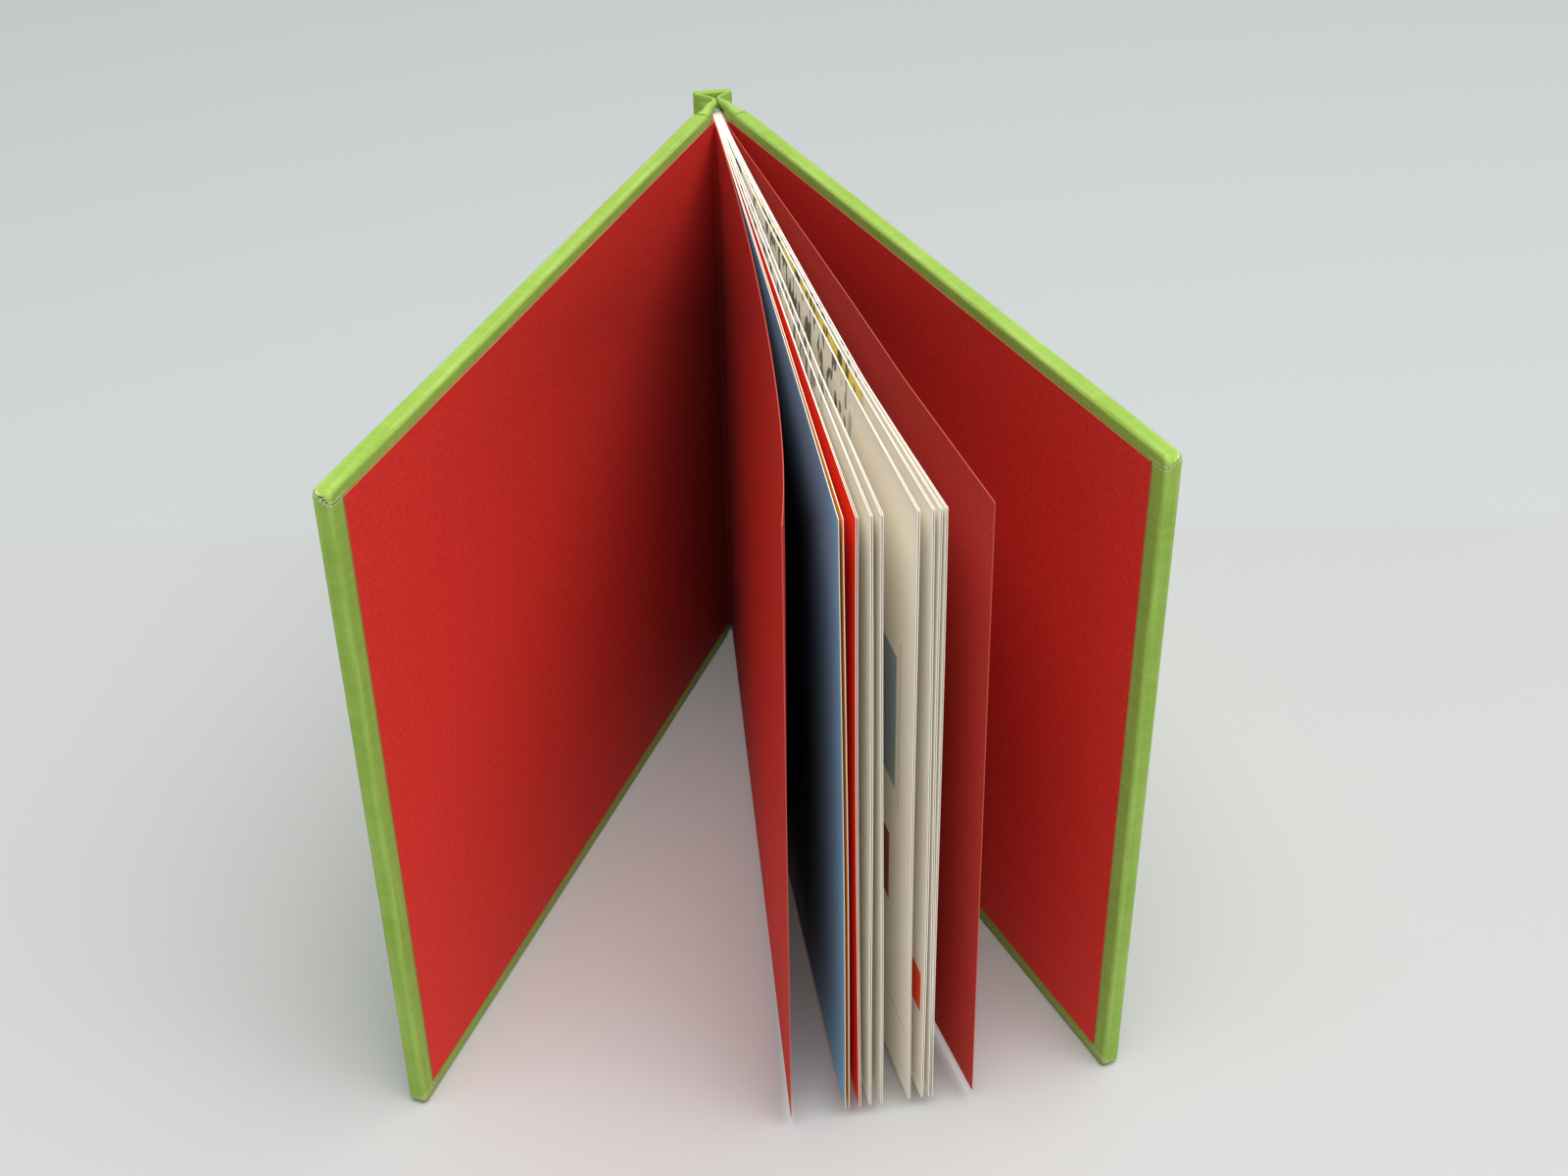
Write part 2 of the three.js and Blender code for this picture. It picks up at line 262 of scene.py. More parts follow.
# %% Paper group
fibre, enter, leave = group(
    "felted_fibre",
    [("Surface", "Vector", None), ("Cloud Size", "Float", 60.0), ("Tooth Size", "Float", 2500.0)],
    [("Cloud", "Float"), ("Tooth", "Float"), ("Fleck", "Float")],
)
cloud = add(fibre, "ShaderNodeTexNoise")
tooth = add(fibre, "ShaderNodeTexNoise")
fleck = add(fibre, "ShaderNodeTexNoise")
for node, size, detail in ((cloud, "Cloud Size", 4.0), (tooth, "Tooth Size", 2.0)):
    feed(fibre, node.inputs["Vector"], enter["Surface"])
    feed(fibre, node.inputs["Scale"], enter[size])
    node.inputs["Detail"].default_value = detail
feed(fibre, fleck.inputs["Vector"], enter["Surface"])
fleck.inputs["Scale"].default_value = 700.0
feed(fibre, leave["Cloud"], cloud.outputs["Fac"])
feed(fibre, leave["Tooth"], tooth.outputs["Fac"])
feed(fibre, leave["Fleck"], between(fibre, fleck.outputs["Fac"], 0.64, 0.72))
print("fibre group:", len(fibre.nodes), "nodes")

# %% [markdown]
# The green cloth is matt, and paler where hands and shelves have rubbed the arrises. Each
# cloth mesh carries that as a number at every vertex, called rub, and a UV map in metres so
# that the threads run along the board and turn over its edges. At each fore corner two
# turn-ins meet in a mitre. Its seam is where one sloping plane cuts the cloth, so the
# distance from that plane draws the dark slit and its frayed lips.

# %% Green cloth
green_cloth, tree, shader = material("green_book_cloth")
surface = add(tree, "ShaderNodeUVMap", uv_map="threads").outputs["UV"]
threads = placed(tree, weave, Surface=surface, Threads=2100.0)
dust = placed(tree, fibre, Surface=surface, Cloud_Size=45.0)
rub = attribute_value(tree, "rub")
patchy = calc(tree, "MULTIPLY", rub, between(tree, dust["Cloud"], 0.25, 0.75))
deep = tint(tree, threads["Slub"], srgb(119, 155, 44), srgb(163, 199, 84))
faded = tint(tree, between(tree, dust["Cloud"], 0.35, 0.7), deep, srgb(152, 190, 82))
mixed = tint(tree, calc(tree, "MULTIPLY", dust["Cloud"], 0.5), deep, faded)
worn = tint(tree, calc(tree, "MULTIPLY", patchy, 0.45), mixed, srgb(190, 216, 126))
shade = between(tree, threads["Height"], 0.7, 1.6)
woven = tint(tree, shade, tint(tree, 0.16, worn, srgb(60, 90, 20)), worn)
on_board = add(tree, "ShaderNodeSeparateXYZ")
feed(tree, on_board.inputs[0], attribute_value(tree, "on_board", "Vector"))
SEAM_SHIFT, SEAM_RAGGED = 0.13, 0.6
SLIT_WIDTH, LIP_WIDTH = 0.13, 0.7
sloping = calc(
    tree, "MULTIPLY_ADD", on_board.outputs["Y"], SEAM_SLOPE, -MM * (SEAM_DROP + SEAM_SHIFT)
)
wavering = noise(tree, surface, 1800.0)
ragged = calc(tree, "MULTIPLY_ADD", wavering, MM * SEAM_RAGGED, -MM * SEAM_RAGGED / 2)
from_head = calc(tree, "SUBTRACT", MM * COVER_HEIGHT, on_board.outputs["Z"])
apart = [
    calc(tree, "ABSOLUTE", calc(tree, "ADD", calc(tree, "ADD", edge, sloping), ragged))
    for edge in (from_head, on_board.outputs["Z"])
]
apart = calc(tree, "MINIMUM", *apart)
near_corner = between(tree, on_board.outputs["X"], MM * (COVER_END - 5), MM * (COVER_END - 4))
lips = calc(tree, "SUBTRACT", 1.0, between(tree, apart, MM * 0.15, MM * LIP_WIDTH))
slit = calc(tree, "SUBTRACT", 1.0, between(tree, apart, MM * 0.03, MM * SLIT_WIDTH))
lips = calc(tree, "MULTIPLY", lips, near_corner)
lips = calc(tree, "MULTIPLY", lips, between(tree, dust["Tooth"], 0.3, 0.6))
slit = calc(tree, "MULTIPLY", slit, near_corner)
frayed = tint(tree, calc(tree, "MULTIPLY", lips, 0.6), woven, srgb(226, 230, 178))
split = tint(tree, calc(tree, "MULTIPLY", slit, 0.85), frayed, srgb(58, 80, 22))
feed(tree, shader.inputs["Base Color"], split)
feed(tree, shader.inputs["Roughness"], calc(tree, "MULTIPLY_ADD", rub, -0.1, 0.88))
shader.inputs["Sheen Weight"].default_value = 0.08
shader.inputs["Specular IOR Level"].default_value = 0.25
raised = calc(tree, "MULTIPLY_ADD", slit, -3.0, calc(tree, "ADD", threads["Height"], lips))
bumped(tree, shader, raised, 0.45, 0.00012)
print("green cloth:", len(tree.nodes), "nodes")

# %% [markdown]
# The endpapers are uncoated red paper, a little mottled, with darker fibres. The cut edges
# show a thin pale line, which the sheet's own edge attribute gives. Towards the gutter the
# red is darkened as painted shade, less so near the head, where light falls in between the
# leaves. The number given last is how far out that painted shade reaches, in metres, and it
# is longest on the back flyleaf, which stands in the shade of the leaves.


# %% Red endpaper
def red_paper(name, light, dark, edge_colour, gutter_reach):
    made, tree, shader = material(name)
    surface = add(tree, "ShaderNodeUVMap", uv_map="sheet").outputs["UV"]
    felt = placed(tree, fibre, Surface=surface, Cloud_Size=1100.0, Tooth_Size=3200.0)
    base = tint(tree, between(tree, felt["Cloud"], 0.3, 0.7), dark, light)
    base = tint(tree, calc(tree, "MULTIPLY", felt["Fleck"], 0.18), base, srgb(90, 14, 14))
    parts = add(tree, "ShaderNodeSeparateXYZ")
    feed(tree, parts.inputs[0], surface)
    # Painted shade: the red darkens towards the gutter, less so near the head, where light falls
    # in.
    lit_share = calc(tree, "POWER", between(tree, parts.outputs["X"], -0.02, gutter_reach), 0.7)
    lit_share = calc(tree, "MAXIMUM", lit_share, between(tree, parts.outputs["Y"], 0.07, 0.15))
    base = tint(tree, lit_share, tint(tree, 0.74, base, srgb(46, 9, 11)), base)
    rim = between(tree, attribute_value(tree, "cut_edge"), 0.7, 1.0)
    feed(tree, shader.inputs["Base Color"], tint(tree, rim, base, edge_colour))
    feed(tree, shader.inputs["Roughness"], calc(tree, "MULTIPLY_ADD", felt["Tooth"], 0.2, 0.68))
    shader.inputs["Specular IOR Level"].default_value = 0.3
    bumped(tree, shader, felt["Tooth"], 0.25, 0.00006)
    return made


pasted_red = red_paper(
    "pasted_endpaper", srgb(226, 54, 42), srgb(214, 44, 36), srgb(206, 104, 78), 0.15
)
free_red = red_paper(
    "free_endpaper", srgb(216, 54, 42), srgb(205, 46, 37), srgb(208, 84, 66), 0.13
)
# A shaded copy of the free endpaper for the back flyleaf: its darker reds and longer reach are
# painted shade from the leaves.
shaded_red = red_paper(
    "shaded_endpaper", srgb(206, 56, 44), srgb(195, 48, 40), srgb(204, 84, 66), 0.19
)
print("endpapers:", pasted_red.name, free_red.name, shaded_red.name)

# %% [markdown]
# The leaves are cream, and a picture book prints some pages edge to edge. Which leaf and
# which of its sides a point belongs to comes from attributes that the geometry tree stores.
# The prints are plain fields of colour, a few bars and short strokes, and stand for no
# real picture. The first page is blue, and its dark and light blue parts are painted shade and
# light.


# %% Page print
def same(tree, value, number):
    return calc(tree, "COMPARE", value, number, 0.4)


def both(tree, *masks):
    result = masks[0]
    for mask in masks[1:]:
        result = calc(tree, "MULTIPLY", result, mask)
    return result


def field(tree, along, height, box, soft=0.0006):
    """A box of print: from and to along the leaf, then from and to up it, in mm."""
    a0, a1, h0, h1 = (MM * number for number in box)
    return both(
        tree,
        between(tree, along, a0, a0 + soft),
        calc(tree, "SUBTRACT", 1.0, between(tree, along, a1 - soft, a1)),
        between(tree, height, h0, h0 + soft),
        calc(tree, "SUBTRACT", 1.0, between(tree, height, h1 - soft, h1)),
    )


page, tree, shader = material("printed_leaf")
read = {
    name: attribute_value(tree, name) for name in ("leaf", "page_side", "along", "height")
}
surface = add(tree, "ShaderNodeCombineXYZ")
for socket, name in zip(surface.inputs, ("along", "height")):
    feed(tree, socket, read[name])
feed(tree, surface.inputs[2], calc(tree, "MULTIPLY", read["leaf"], 0.05))
surface = surface.outputs[0]
felt = placed(tree, fibre, Surface=surface, Cloud_Size=40.0, Tooth_Size=3000.0)
colour = tint(tree, felt["Cloud"], srgb(253, 243, 226), srgb(255, 250, 238))
left = calc(tree, "LESS_THAN", read["page_side"], -0.5)
right = calc(tree, "GREATER_THAN", read["page_side"], 0.5)
FULL_PAGES = [
    # The first page, dark navy: painted shade from the flyleaf.
    (left, 0, srgb(34, 40, 58)),
    (right, 0, srgb(255, 196, 90)),
    (left, 1, srgb(255, 196, 70)),
    (left, 2, srgb(255, 82, 44)),
    (right, 1, srgb(250, 80, 44)),
    (right, 2, srgb(250, 90, 52)),
    (left, 3, srgb(255, 84, 48)),
]
for face, number, ink in FULL_PAGES:
    mask = both(tree, face, same(tree, read["leaf"], number))
    colour = tint(tree, mask, colour, ink)
# The first page is blue, painted dark navy as shade where the flyleaf shades it and light
# blue as painted light out of that shade: near the fore edge and along the head.
near_fore_edge = between(tree, read["along"], 0.112, 0.15)
near_head = calc(
    tree,
    "MULTIPLY",
    between(tree, read["height"], 0.098, 0.127),
    between(tree, read["along"], 0.0, 0.06),
)
open_part = calc(tree, "MAXIMUM", near_fore_edge, near_head)
mask = both(tree, left, same(tree, read["leaf"], 0), open_part)
colour = tint(tree, mask, colour, srgb(136, 214, 255))
# Each field: the leaf, its box in mm (along from and to, up from and to), ink and strength.
FIELDS = [
    (8, (90, 146, 66, 94), srgb(134, 158, 166), 0.85),
    (8, (88, 143, 38, 54), srgb(150, 38, 32), 0.9),
    (8, (147.4, 148.2, 62, 98), srgb(96, 100, 104), 0.8),
    (8, (20, 154, 15, 15.8), srgb(120, 110, 96), 0.7),
    (8, (30, 152, 11, 11.6), srgb(120, 110, 96), 0.6),
    (10, (139, 154, 20, 30), srgb(255, 84, 42), 1.0),
    (10, (30, 118, 121, 127.9), srgb(255, 236, 120), 1.0),
    (6, (40, 150, 14, 14.8), srgb(110, 104, 92), 0.6),
    (12, (30, 100, 123, 127.9), srgb(214, 222, 214), 0.6),
    (4, (90, 152, 60, 61), srgb(130, 120, 100), 0.5),
    (12, (30, 152, 88, 89), srgb(150, 142, 126), 0.5),
    (14, (30, 152, 64, 65), srgb(150, 142, 126), 0.5),
]
for number, box, ink, strength in FIELDS:
    mask = both(
        tree,
        left,
        same(tree, read["leaf"], number),
        field(tree, read["along"], read["height"], box),
    )
    colour = tint(tree, calc(tree, "MULTIPLY", mask, strength), colour, ink)
STROKE_BOX = (4, 122, 98, 142)
strokes = noise(tree, surface, 1.0, detail=1.5, stretch=(420.0, 160.0, 900.0))
inked = both(
    tree,
    left,
    calc(tree, "GREATER_THAN", read["leaf"], 3.5),
    between(tree, strokes, 0.54, 0.56),
    field(tree, read["along"], read["height"], STROKE_BOX, soft=0.012),
)
colour = tint(tree, calc(tree, "MULTIPLY", inked, 0.85), colour, srgb(40, 40, 48))
feed(tree, shader.inputs["Base Color"], colour)
feed(tree, shader.inputs["Roughness"], calc(tree, "MULTIPLY_ADD", felt["Tooth"], 0.2, 0.62))
shader.inputs["Specular IOR Level"].default_value = 0.3
bumped(tree, shader, felt["Tooth"], 0.2, 0.00005)
print("pages:", len(FULL_PAGES), "full colours and", len(FIELDS), "fields")

# %% [markdown]
# Grey board shows only at the worn corner, and the lining only at the ends of the bound
# edge. Both still get their own material on the CAD nodes that are kept. The ends of thread
# at the worn corner are made of the same kind of fibre, undyed.


# %% Grey board, lining and loose threads
def plain_fibre(name, light, dark, cloud_size, tooth_size, distance):
    made, tree, shader = material(name)
    surface = add(tree, "ShaderNodeTexCoord").outputs["Object"]
    felt = placed(tree, fibre, Surface=surface, Cloud_Size=cloud_size, Tooth_Size=tooth_size)
    base = tint(tree, felt["Cloud"], dark, light)
    feed(tree, shader.inputs["Base Color"], tint(tree, felt["Fleck"], base, dark))
    feed(tree, shader.inputs["Roughness"], calc(tree, "MULTIPLY_ADD", felt["Tooth"], 0.1, 0.85))
    bumped(tree, shader, felt["Tooth"], 0.4, distance)
    return made


grey_board = plain_fibre(
    "grey_board", srgb(170, 166, 156), srgb(128, 124, 116), 300.0, 2600.0, 0.0002
)
mull = plain_fibre(
    "glued_lining", srgb(226, 219, 200), srgb(188, 178, 152), 200.0, 1800.0, 0.0002
)
loose_thread = plain_fibre(
    "loose_thread", srgb(240, 230, 204), srgb(206, 206, 150), 900.0, 4000.0, 0.0001
)
KEPT = {
    "front_board": grey_board,
    "back_board": grey_board,
    "spine_inlay": grey_board,
    "spine_lining": mull,
}
for name, made_of in KEPT.items():
    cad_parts[name].data.materials.clear()
    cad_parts[name].data.materials.append(made_of)
print("kept CAD pieces:", ", ".join(KEPT))

# %% [markdown]
# A mesh is made from places in millimetres and faces by number. Solidify then gives a
# cloth its thickness, and the result is kept as a plain mesh whose sharp edges stay sharp.


# %% Mesh helpers
def piece(name, places, faces, made_of, uv_name=None, uv=None, numbers=None):
    mesh = bpy.data.meshes.new(name)
    mesh.from_pydata([tuple(MM * c for c in place) for place in places], [], faces)
    mesh.materials.append(made_of)
    if uv_name:
        layer = mesh.uv_layers.new(name=uv_name)
        layer.data.foreach_set("uv", (MM * np.asarray(uv, float)).ravel())
    for label, values in (numbers or {}).items():
        attribute = mesh.attributes.new(label, "FLOAT", "POINT")
        attribute.data.foreach_set("value", np.asarray(values, float))
    made = bpy.data.objects.new(name, mesh)
    bpy.context.collection.objects.link(made)
    return made


def settle(made, sharp_angle=32.0):
    """Turns the live modifiers into plain mesh and shades it."""
    evaluated = made.evaluated_get(bpy.context.evaluated_depsgraph_get())
    mesh = bpy.data.meshes.new_from_object(evaluated)
    made.modifiers.clear()
    made.data = mesh
    mesh.shade_smooth()
    mesh.set_sharp_from_angle(angle=math.radians(sharp_angle))
    print(made.name, len(mesh.polygons), "faces")
    return made


def ring_faces(ring_count, around):
    """Four-sided faces that join each ring of points to the next one."""
    faces = []
    for ring in range(ring_count - 1):
        here, there = ring * around, (ring + 1) * around
        for i in range(around):
            j = (i + 1) % around
            faces.append((here + i, here + j, there + j, there + i))
    return faces


def rounded_rectangle(a0, a1, b0, b1, radius, steps=12):
    """An outline with close points round each corner and a little way along both sides."""
    points = []
    beside = [0.2, 0.4, 0.6, 0.8, 1.0, 1.2]
    corners = ((a1, b0, -90), (a1, b1, 0), (a0, b1, 90), (a0, b0, 180))
    for a, b, start in corners:
        centre = (a + (radius if a == a0 else -radius), b + (radius if b == b0 else -radius))
        arc = []
        for step in range(steps + 1):
            turn = math.radians(start + 90 * step / steps)
            arc.append((centre[0] + radius * math.cos(turn), centre[1] + radius * math.sin(turn)))
        into = math.radians(start + 90)
        onward = math.radians(start + 180)
        (first_a, first_b), (last_a, last_b) = arc[0], arc[-1]
        points += [
            (first_a - d * math.cos(into), first_b - d * math.sin(into)) for d in reversed(beside)
        ]
        points += arc
        points += [(last_a + d * math.cos(onward), last_b + d * math.sin(onward)) for d in beside]
    return points


# %% [markdown]
# Each cover's cloth is a skin over a flat board, so it is built as rings that follow the
# board's outline: over the outer face, round the arris, and in over the inner face as far as
# the turn-in goes. Where two turn-ins meet at a fore corner they are cut on the diagonal,
# and the seam is split open by a hair. At the front cover's head the corner is rubbed
# through, so a few faces are left out there.


# %% Wrapped cloth
def wrapped_rings(a0, a1, b0, b1, v0, v1, corner, arris, window=None, segments=6):
    """Rings (a, v, b) from the inner face to the outer one, with the rub of each ring."""
    rings = []
    edge_rub, face_rub = 0.35, 0.1
    smallest_corner, past_arris = 0.25, arris * 2.2
    well_in = arris * 9.0 if min(a1 - a0, b1 - b0) > 30 else arris * 3.0

    def ring(outline, level, rubbed):
        rings.append(([(a, level, b) for a, b in outline], rubbed))

    def inset(amount):
        radius = max(corner - amount, smallest_corner)
        return rounded_rectangle(a0 + amount, a1 - amount, b0 + amount, b1 - amount, radius)

    ring(rounded_rectangle(*window, 0.5) if window else inset(past_arris), v0, 0.0)
    for step in range(segments + 1):
        turn = math.pi / 2 * step / segments
        ring(inset(arris * (1 - math.sin(turn))), v0 + arris * (1 - math.cos(turn)), math.sin(turn))
    between_arrises = v1 - v0 - 2 * arris
    for step in range(1, 8):
        ring(inset(0), v0 + arris + between_arrises * step / 8, edge_rub)
    for step in range(segments + 1):
        turn = math.pi / 2 * step / segments
        ring(inset(arris * (1 - math.cos(turn))), v1 - arris * (1 - math.sin(turn)), math.cos(turn))
    ring(inset(past_arris), v1, face_rub)
    ring(inset(well_in), v1, 0.0)
    return rings


def skin(name, rings, place, flip, made_of, leave_out=None, window=False):
    """Joins rings to a skin. With a window it is a cover's cloth, open on its inner face."""
    count = len(rings[0][0])
    local = np.array([point for outline, _ in rings for point in outline])
    faces = ring_faces(len(rings), count)
    faces.append(tuple(range((len(rings) - 1) * count, len(rings) * count)))
    if not window:
        faces.append(tuple(reversed(range(count))))
    if leave_out:
        faces = [face for face in faces if not leave_out(local[list(face)].mean(axis=0))]
    if flip:
        faces = [tuple(reversed(face)) for face in faces]
    uv = []
    other_patch = 7.0
    for face in faces:
        points = local[list(face)]
        normal = np.cross(points, np.roll(points, -1, axis=0)).sum(axis=0)
        across = int(np.argmax(np.abs(normal)))
        for a, v, b in points:
            on_edge = v + other_patch
            uv.append((a, b) if across == 1 else (on_edge, b) if across == 0 else (a, on_edge))
    rubbed = [value for outline, value in rings for _ in outline]
    made = piece(name, place(local), faces, made_of, "threads", uv, {"rub": rubbed})
    if window:
        attribute = made.data.attributes.new("on_board", "FLOAT_VECTOR", "POINT")
        attribute.data.foreach_set("vector", (MM * local).ravel())
    return made


def thicken(made, thickness):
    wall = made.modifiers.new("wall", "SOLIDIFY")
    wall.thickness = thickness * MM
    wall.offset = -1.0
    wall.use_even_offset = True
    return made


def cover_cloth(side):
    window = (COVER_START + 1.4, COVER_END - TURN_IN, TURN_IN, COVER_HEIGHT - TURN_IN)
    along, through = (COVER_START, COVER_END), (TURN_IN_LEVEL, OUTER_LEVEL)
    rings = wrapped_rings(*along, 0, COVER_HEIGHT, *through, COVER_CORNER, COVER_ARRIS, window)

    def rubbed_through(centre):
        """A short slit on the seam at the front cover's head corner, with a wavy rim."""
        half_width, waviness = 0.42, 0.05
        a, v, b = centre
        from_seam = (COVER_HEIGHT - b) + SEAM_SLOPE * (v - TURN_IN_LEVEL) - SEAM_DROP
        along_seam = (v - 1.55) / 0.75
        if side > 0 or a < COVER_END - 1.6 or abs(along_seam) > 1:
            return False
        opened = half_width * (1 - along_seam**2) + waviness * math.sin(40 * v)
        return abs(from_seam + 0.1) < opened

    made = skin(
        f"{SIDE_NAME[side]}_cover_wrap",
        rings,
        lambda places: on_cover(side, places),
        side > 0,
        green_cloth,
        leave_out=rubbed_through,
        window=True,
    )
    settle(thicken(made, CLOTH))
    return made


wraps = {side: cover_cloth(side) for side in (-1, 1)}
for side, made in wraps.items():
    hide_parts(f"{SIDE_NAME[side]}_cover_cloth")
    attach(made, f"{SIDE_NAME[side]}_cover")

# %% [markdown]
# Where the corner is rubbed through, a few ends of thread stick out of the slit. Each is a
# thin tube along four points, and a fixed list of angles keeps them the same in every run.


# %% Loose threads
def tube(points, radius, sides=6):
    points = np.asarray(points, float)
    heading = np.gradient(points, axis=0)
    heading /= np.linalg.norm(heading, axis=1)[:, None]
    across = np.cross(heading, (0.3, 0.5, 0.8))
    across /= np.linalg.norm(across, axis=1)[:, None]
    upward = np.cross(heading, across)
    turns = 2 * math.pi * np.arange(sides) / sides
    rings = [
        point + radius * (math.cos(turn) * beside + math.sin(turn) * above)
        for point, beside, above in zip(points, across, upward)
        for turn in turns
    ]
    faces = ring_faces(len(points), sides)
    faces.append(tuple(reversed(range(sides))))
    faces.append(tuple(range((len(points) - 1) * sides, len(points) * sides)))
    return rings, faces


THREAD_RADIUS = 0.06
strand_places, strand_faces = [], []
for step, lean in enumerate((-0.5, 0.35, -0.15, 0.6, -0.4)):
    v = 0.95 + 0.25 * step
    beside_seam = 0.16 if step % 2 else -0.2
    z = COVER_HEIGHT - SEAM_DROP + SEAM_SLOPE * (v - TURN_IN_LEVEL) + beside_seam
    reach = 0.35 + 0.08 * (step % 4)
    ends = [
        (COVER_END - 0.25, v, z),
        (COVER_END + 0.05, v + 0.1 * lean, z + 0.05),
        (COVER_END + 0.10 + 0.3 * reach, v + 0.5 * lean * reach, z - 0.25 * reach),
        (COVER_END + 0.05 + 0.3 * reach, v + lean * reach, z - 0.8 * reach),
    ]
    rings, faces = tube(on_cover(-1, ends), THREAD_RADIUS)
    strand_faces += [tuple(k + len(strand_places) for k in face) for face in faces]
    strand_places += rings
strands = settle(piece("corner_threads", strand_places, strand_faces, loose_thread), 60.0)
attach(strands, "front_cover")

# %% [markdown]
# The spine is a card strip wrapped in the same cloth, flat and narrow. It is the same kind
# of skin with no window.

# %% Spine strip
across, through = (-SPINE_HALF_WIDTH, SPINE_HALF_WIDTH), (-SPINE_HALF_DEPTH, SPINE_HALF_DEPTH)
rings = wrapped_rings(*across, 0, COVER_HEIGHT, *through, SPINE_CORNER, SPINE_ARRIS)
spine_wrap = skin("spine_wrap", rings, lambda places: places, True, green_cloth)
settle(thicken(spine_wrap, CLOTH))
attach(spine_wrap, "leaves_and_spine")

# %% [markdown]
# In the joint the cloth leaves the spine strip, lies down beside the leaves in a groove,
# and climbs the board's edge. Above the leaves nothing holds it out, so it is pinched to
# the middle. Here it is one closed loft: every level has an outer and an inner line with
# the same number of points, and the two meet in a round fold at the head and the tail.


# %% Joint cloths
def bezier(points, count):
    points = np.asarray(points, float)
    t = np.linspace(0, 1, count)[:, None]
    return (
        (1 - t) ** 3 * points[0]
        + 3 * (1 - t) ** 2 * t * points[1]
        + 3 * (1 - t) * t**2 * points[2]
        + t**3 * points[3]
    )


def chain(corners, counts=(10, 10, 12)):
    """Curves end to end: each has four corners and starts where the last one ended."""
    curves = [bezier(corners[3 * i : 3 * i + 4], count) for i, count in enumerate(counts)]
    return np.vstack([curves[0]] + [curve[1:] for curve in curves[1:]])


def joint_lines(side):
    """The joint's outer and inner line in plan, from the spine strip to the board."""
    beside_strip_outer = [(3.75, -0.2), (3.95, -1.6), (2.3, -1.9), (2.22, -3.4)]
    beside_strip_outer += [(2.16, -4.8), (3.2, -4.9), (3.3, -6.4), (3.4, -8.8)]
    beside_strip_inner = [(3.1, -0.3), (3.1, -1.4), (1.6, -1.9), (1.53, -3.4)]
    beside_strip_inner += [(1.53, -4.4), (1.53, -5.4), (1.53, -6.4), (1.56, -9.6)]
    on_board_outer = ((-1.2, 2.4), (2.3, 3.3))
    on_board_inner = ((-0.2, 0.5), (2.3, 0.5))

    def line(beside_strip, on_board):
        corners = [np.array((side * x, y)) for x, y in beside_strip]
        corners += [on_cover(side, [(u, v, 0)])[0][:2] for u, v in on_board]
        return chain(corners)

    return line(beside_strip_outer, on_board_outer), line(beside_strip_inner, on_board_inner)


def joint_cloth(side):
    outer, inner = joint_lines(side)
    count = len(outer)
    gap = np.linalg.norm(outer - inner, axis=1)
    into = (inner - outer) / gap[:, None]
    radius = np.minimum(gap / 2 * 0.98, COVER_ARRIS)
    # Both joints are pinched to one line, a little to the front cover's side of the middle.
    deepest = -4.1 if side > 0 else -4.9
    pinch_width = 2.1
    pinch = np.exp(-(((outer[:, 1] - deepest) / pinch_width) ** 2))
    reach = 0.25 - side * 1.47
    heights = np.concatenate(
        (np.linspace(0.9, 4.0, 9), np.linspace(12, 124, 15), np.linspace(129.4, 132.4, 9))
    )
    pinch_below, pinch_above, easing = 0.8, 130.7, 1.5
    places, rub = [], []

    def level(z, inset, rubbed):
        """Adds one ring of points at the heights z, drawn in from both lines by inset."""
        near_tail = 1 - np.clip((z - pinch_below) / easing, 0, 1)
        near_head = np.clip((z - pinch_above) / easing, 0, 1)
        share = np.maximum(*[part * part * (3 - 2 * part) for part in (near_tail, near_head)])
        shift = np.column_stack((reach * pinch * share, np.zeros(count)))
        line_out = outer + into * inset[:, None] + shift
        line_in = inner - into * inset[:, None] + shift
        loop = np.vstack((line_out, line_in[::-1]))
        places.append(np.column_stack((loop, np.concatenate((z, z[::-1])))))
        rub.append(np.full(len(loop), rubbed))

    for turn in np.linspace(math.pi / 2, 0, 6)[:-1]:
        level(radius * (1 - math.sin(turn)), radius * (1 - math.cos(turn)), 0.8)
    for z in heights:
        level(np.full(count, z), np.zeros(count), 0.05)
    for turn in np.linspace(0, math.pi / 2, 6)[1:]:
        z = COVER_HEIGHT - radius * (1 - math.sin(turn))
        level(z, radius * (1 - math.cos(turn)), 0.9 * math.sin(turn))
    around = 2 * count
    faces = ring_faces(len(places), around)
    last = (len(places) - 1) * around
    for i in range(count - 1):
        mirror = around - 1 - i
        faces.append((last + i, last + i + 1, last + mirror - 1, last + mirror))
        faces.append((i + 1, i, mirror, mirror - 1))
    if side > 0:
        faces = [tuple(reversed(face)) for face in faces]
    lengths = np.concatenate(([0], np.cumsum(np.linalg.norm(np.diff(outer, axis=0), axis=1))))
    run = np.concatenate((lengths, lengths[::-1]))
    flat = np.vstack(places)
    uv = [(run[i % around], flat[i][2]) for face in faces for i in face]
    name = f"{SIDE_NAME[side]}_joint_cloth"
    numbers = {"rub": np.concatenate(rub)}
    made = piece(name, flat, faces, green_cloth, "threads", uv, numbers)
    mesh = bmesh.new()
    mesh.from_mesh(made.data)
    bmesh.ops.recalc_face_normals(mesh, faces=mesh.faces)
    mesh.to_mesh(made.data)
    mesh.free()
    return settle(made, 50.0)


joints = {side: joint_cloth(side) for side in (-1, 1)}
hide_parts("spine_cloth")
for side, made in joints.items():
    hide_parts("spine_cloth")
    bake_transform(made)

# %% [markdown]
# A sheet of paper is a grid with two faces and four cut edges. The same helper makes the
# pastedowns, which sink a little between the turn-ins, and the flyleaves, which stand free
# and curve. The function that is handed in says where each point of the grid lies.


